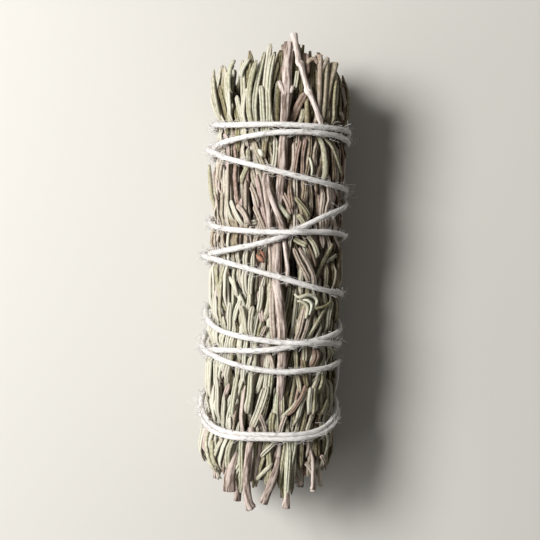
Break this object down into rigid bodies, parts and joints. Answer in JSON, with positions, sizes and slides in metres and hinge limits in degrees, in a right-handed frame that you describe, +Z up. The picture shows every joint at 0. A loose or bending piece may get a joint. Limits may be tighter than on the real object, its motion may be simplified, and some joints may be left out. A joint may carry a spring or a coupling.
{
  "type": "smudge stick",
  "caption": "Bundle of dried rosemary stems and needle leaves, lying down, bound criss-cross with white cotton twine that is knotted low on one side.",
  "frame": {"origin": "middle of the underside, on the surface that the bundle lies on", "axes": "+Y along the bundle, towards the end with the bare twig; +Z up, away from the surface; +X to the right in the picture, which looks down on it"},
  "size_m": [0.0316, 0.1012, 0.0278],
  "materials": {
    "dried_rosemary": "dry, dull needle leaves, grey-green to tan",
    "rosemary_bark": "dull pinkish-brown bark, finely cracked along its length",
    "cotton_twine": "undyed soft twisted cotton with loose fibres"
  },
  "bodies": {
    "root": {"sprig_01": "dried_rosemary", "sprig_02": "dried_rosemary", "sprig_03": "dried_rosemary", "sprig_04": "dried_rosemary", "sprig_05": "dried_rosemary", "sprig_06": "dried_rosemary", "sprig_07": "dried_rosemary", "sprig_08": "dried_rosemary", "sprig_09": "dried_rosemary", "sprig_10": "dried_rosemary", "sprig_11": "dried_rosemary", "sprig_12": "dried_rosemary", "sprig_13": "dried_rosemary", "sprig_14": "dried_rosemary", "sprig_15": "dried_rosemary", "sprig_16": "dried_rosemary", "sprig_17": "dried_rosemary", "sprig_18": "dried_rosemary", "sprig_19": "dried_rosemary", "sprig_20": "dried_rosemary", "sprig_21": "dried_rosemary", "sprig_22": "dried_rosemary", "sprig_23": "dried_rosemary", "sprig_24": "dried_rosemary", "sprig_25": "dried_rosemary", "sprig_26": "dried_rosemary", "bare_twig": "rosemary_bark", "twine": "cotton_twine"}
  },
  "joints": []
}
